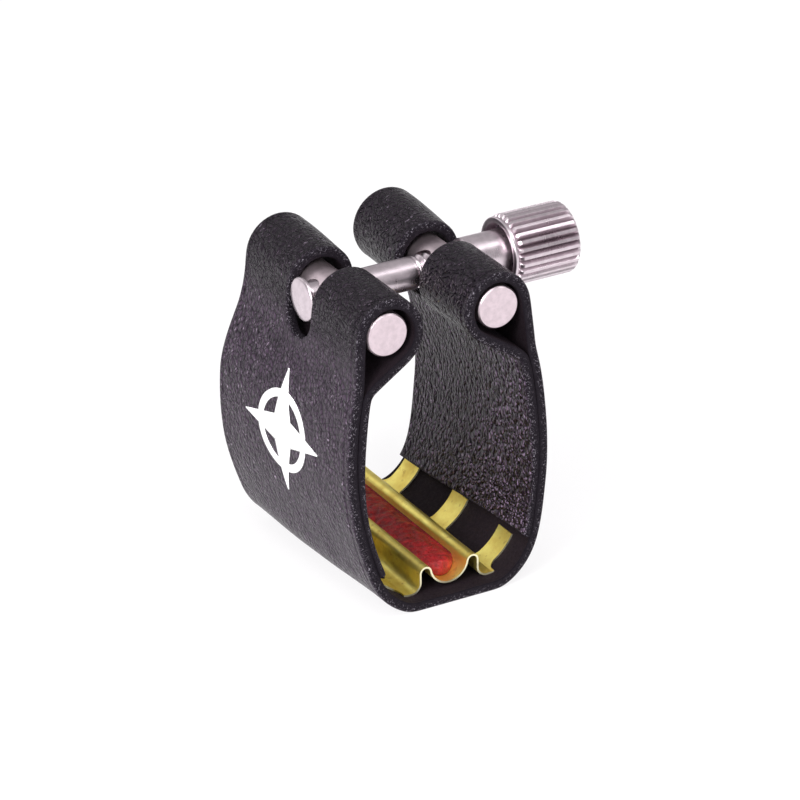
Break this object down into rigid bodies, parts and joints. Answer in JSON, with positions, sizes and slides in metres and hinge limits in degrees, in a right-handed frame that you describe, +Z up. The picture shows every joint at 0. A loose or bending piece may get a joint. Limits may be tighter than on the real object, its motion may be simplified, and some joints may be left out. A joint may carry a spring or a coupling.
{
  "type": "saxophone ligature",
  "caption": "Soft leather strap ligature that clamps a reed to a saxophone mouthpiece, with a thumb nut and bolt through dowel loops and a sprung brass reed plate.",
  "frame": {"origin": "centre of the flat underside of the strap, under the middle of the screw", "axes": "+X along the closing screw towards the thumb nut, +Y along the mouthpiece axis towards its back end, +Z up from the reed side to the screw"},
  "size_m": [0.0337, 0.027, 0.0349],
  "materials": {
    "strap_leather": "grained, semi-matt",
    "nickel_plate": "satin nickel plate",
    "brass_plate": "satin",
    "cushion_leather": "grained, semi-matt",
    "white_foil": "printed foil"
  },
  "bodies": {
    "base": {"strap_base": "strap_leather", "reed_plate": "brass_plate", "cushion_strip": "cushion_leather"},
    "left_side": {"strap_left": "strap_leather", "wall_ornament": "white_foil"},
    "right_side": {"strap_right": "strap_leather"},
    "screw": {"left_dowel": "nickel_plate", "bolt": "nickel_plate"},
    "right_pivot": {"right_dowel": "nickel_plate"},
    "thumb_nut": {"nut_sleeve": "nickel_plate", "thumb_knob": "nickel_plate"}
  },
  "joints": [
    {"name": "left_flex", "type": "hinge", "parent": "base", "child": "left_side", "pos_m": [-0.00952, 0, 0.0051], "axis": [0, 1, 0], "range_deg": [-1, 5]},
    {"name": "left_dowel_turn", "type": "hinge", "parent": "left_side", "child": "screw", "pos_m": [-0.0065, 0, 0.031], "axis": [0, -1, 0], "range_deg": [-1, 5]},
    {"name": "right_flex", "type": "hinge", "parent": "base", "child": "right_side", "pos_m": [0.00952, 0, 0.0051], "axis": [0, -1, 0], "range_deg": [-1, 5]},
    {"name": "right_dowel_turn", "type": "hinge", "parent": "right_side", "child": "right_pivot", "pos_m": [0.0065, 0, 0.031], "axis": [0, 1, 0], "range_deg": [-1, 5]},
    {"name": "nut_turn", "type": "hinge", "parent": "right_pivot", "child": "thumb_nut", "pos_m": [0.0178, 0, 0.031], "axis": [-1, 0, 0], "range_deg": [-405, 2030]}
  ],
  "couplings": [
    {"joint": "left_flex", "follows": "nut_turn", "ratio": 0.0024579},
    {"joint": "left_dowel_turn", "follows": "nut_turn", "ratio": 0.0024579},
    {"joint": "right_flex", "follows": "nut_turn", "ratio": 0.0024579},
    {"joint": "right_dowel_turn", "follows": "nut_turn", "ratio": 0.0024579}
  ]
}
